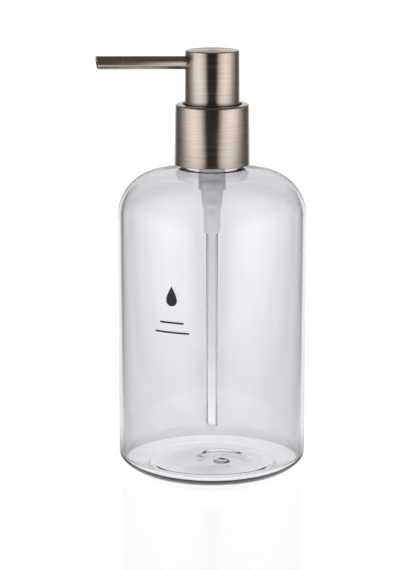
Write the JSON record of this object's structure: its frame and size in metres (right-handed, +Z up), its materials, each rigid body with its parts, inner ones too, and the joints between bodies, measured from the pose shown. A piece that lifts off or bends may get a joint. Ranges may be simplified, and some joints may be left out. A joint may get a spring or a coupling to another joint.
{
  "type": "soap pump dispenser",
  "caption": "Clear glass cylinder bottle with a screw-on brushed metal lotion pump, long thin spout, translucent pump body and dip tube.",
  "frame": {"origin": "centre of the flat underside of the bottle, on the surface that it stands on", "axes": "+Z up along the bottle and pump, the spout at rest points along -X"},
  "size_m": [0.087, 0.078, 0.1761],
  "materials": {
    "clear_glass": "clear, fire-polished, 2 mm wall",
    "brushed_metal": "warm nickel tone, fine brushing round the axis",
    "frosted_plastic": "translucent natural polyethylene, satin",
    "white_plastic": "moulded, satin",
    "spring_steel": "bright stainless",
    "seal": "soft matt seal"
  },
  "bodies": {
    "bottle": {"bottle_base": "clear_glass", "bottle_wall": "clear_glass", "bottle_shoulder": "clear_glass", "bottle_neck": "clear_glass"},
    "pump": {"pump_housing": "frosted_plastic", "guide_cap": "white_plastic", "neck_gasket": "seal", "ball_retainer": "white_plastic", "dip_tube": "frosted_plastic", "return_spring": "spring_steel"},
    "closure": {"screw_closure": "white_plastic", "collar_shell": "brushed_metal"},
    "plunger": {"stem": "white_plastic", "piston_seat": "white_plastic"},
    "piston": {"piston": "frosted_plastic"},
    "head": {"actuator_core": "white_plastic", "head_shell": "brushed_metal", "spout_tube": "brushed_metal", "spout_liner": "white_plastic"},
    "ball": {"inlet_ball": "spring_steel"}
  },
  "joints": [
    {"name": "pump_rise", "type": "slide", "parent": "bottle", "child": "pump", "axis": [0, 0, 1], "range_m": [0, 0.00529]},
    {"name": "closure_turn", "type": "hinge", "parent": "pump", "child": "closure", "pos_m": [0, 0, 0.135], "axis": [0, 0, 1], "range_deg": [0, 450]},
    {"name": "head_press", "type": "slide", "parent": "pump", "child": "plunger", "axis": [0, 0, -1], "range_m": [0, 0.011], "stiffness_N_per_m": 800, "springref_m": -0.002, "deforming": ["return_spring"]},
    {"name": "piston_float", "type": "slide", "parent": "plunger", "child": "piston", "axis": [0, 0, 1], "range_m": [0, 0.0012]},
    {"name": "head_swivel", "type": "hinge", "parent": "plunger", "child": "head", "pos_m": [0, 0, 0.165], "axis": [0, 0, 1], "continuous": true},
    {"name": "ball_lift", "type": "slide", "parent": "pump", "child": "ball", "axis": [0, 0, 1], "range_m": [0, 0.0015]}
  ],
  "couplings": [
    {"joint": "closure_turn", "follows": "pump_rise", "rad_per_m": 1484.2}
  ]
}
